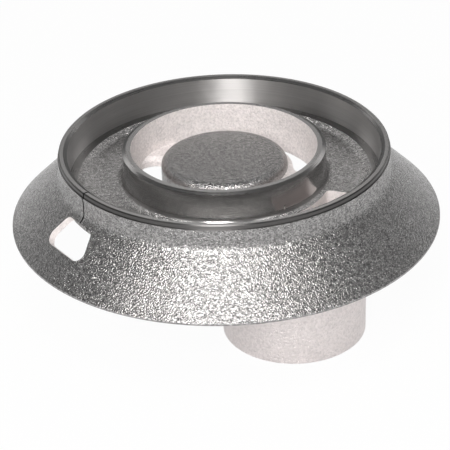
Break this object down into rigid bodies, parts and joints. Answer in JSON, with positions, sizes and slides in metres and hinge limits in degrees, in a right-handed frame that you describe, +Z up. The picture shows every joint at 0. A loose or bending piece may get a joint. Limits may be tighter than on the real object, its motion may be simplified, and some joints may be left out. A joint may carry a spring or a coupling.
{
  "type": "gas burner head",
  "caption": "Cast aluminium ring burner head: flared skirt, turned rim and cap ledge, ring gas channel, collar round a central boss, and an offset inlet spigot below.",
  "frame": {"origin": "on the burner axis, in the plane of the spigot's open end", "axes": "+Z up along the burner axis; the spigot lies towards +X and -Y, the ignition window towards -X and -Y"},
  "size_m": [0.12, 0.12, 0.0507],
  "materials": {
    "cast_aluminium": "grit-blasted casting with bright turned seats"
  },
  "bodies": {
    "root": {"burner_head": "cast_aluminium"}
  },
  "joints": []
}
